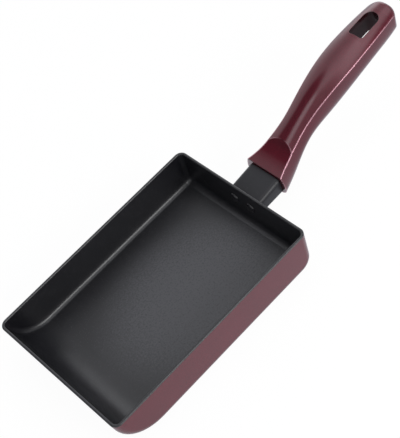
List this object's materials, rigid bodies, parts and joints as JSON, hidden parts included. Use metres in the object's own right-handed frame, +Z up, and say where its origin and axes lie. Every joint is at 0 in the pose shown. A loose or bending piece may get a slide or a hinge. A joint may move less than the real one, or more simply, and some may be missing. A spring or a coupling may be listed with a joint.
{
  "type": "tamagoyaki pan",
  "caption": "Rectangular rolled-omelette pan with a non-stick tray, a riveted bracket, a flame guard and a long curved handle with a hanging slot.",
  "frame": {"origin": "middle of the tray's flat underside", "axes": "+X from the tray towards the handle's tail, +Y to the left of someone who looks along +X, +Z up"},
  "size_m": [0.3565, 0.13, 0.0753],
  "materials": {
    "bare_aluminium": "satin",
    "nonstick_coat": "satin",
    "maroon_enamel": "satin",
    "coated_rivet": "satin",
    "plated_steel": "satin",
    "guard_metal": "satin",
    "maroon_resin": "gloss"
  },
  "bodies": {
    "root": {"pan_body": "bare_aluminium", "nonstick_lining": "nonstick_coat", "exterior_enamel": "maroon_enamel", "bracket_rivets": "coated_rivet", "handle_bracket": "plated_steel", "bracket_nut": "plated_steel", "flame_guard": "guard_metal", "handle_grip": "maroon_resin", "flat_washer": "plated_steel", "spring_washer": "plated_steel", "handle_screw": "plated_steel"}
  },
  "joints": []
}
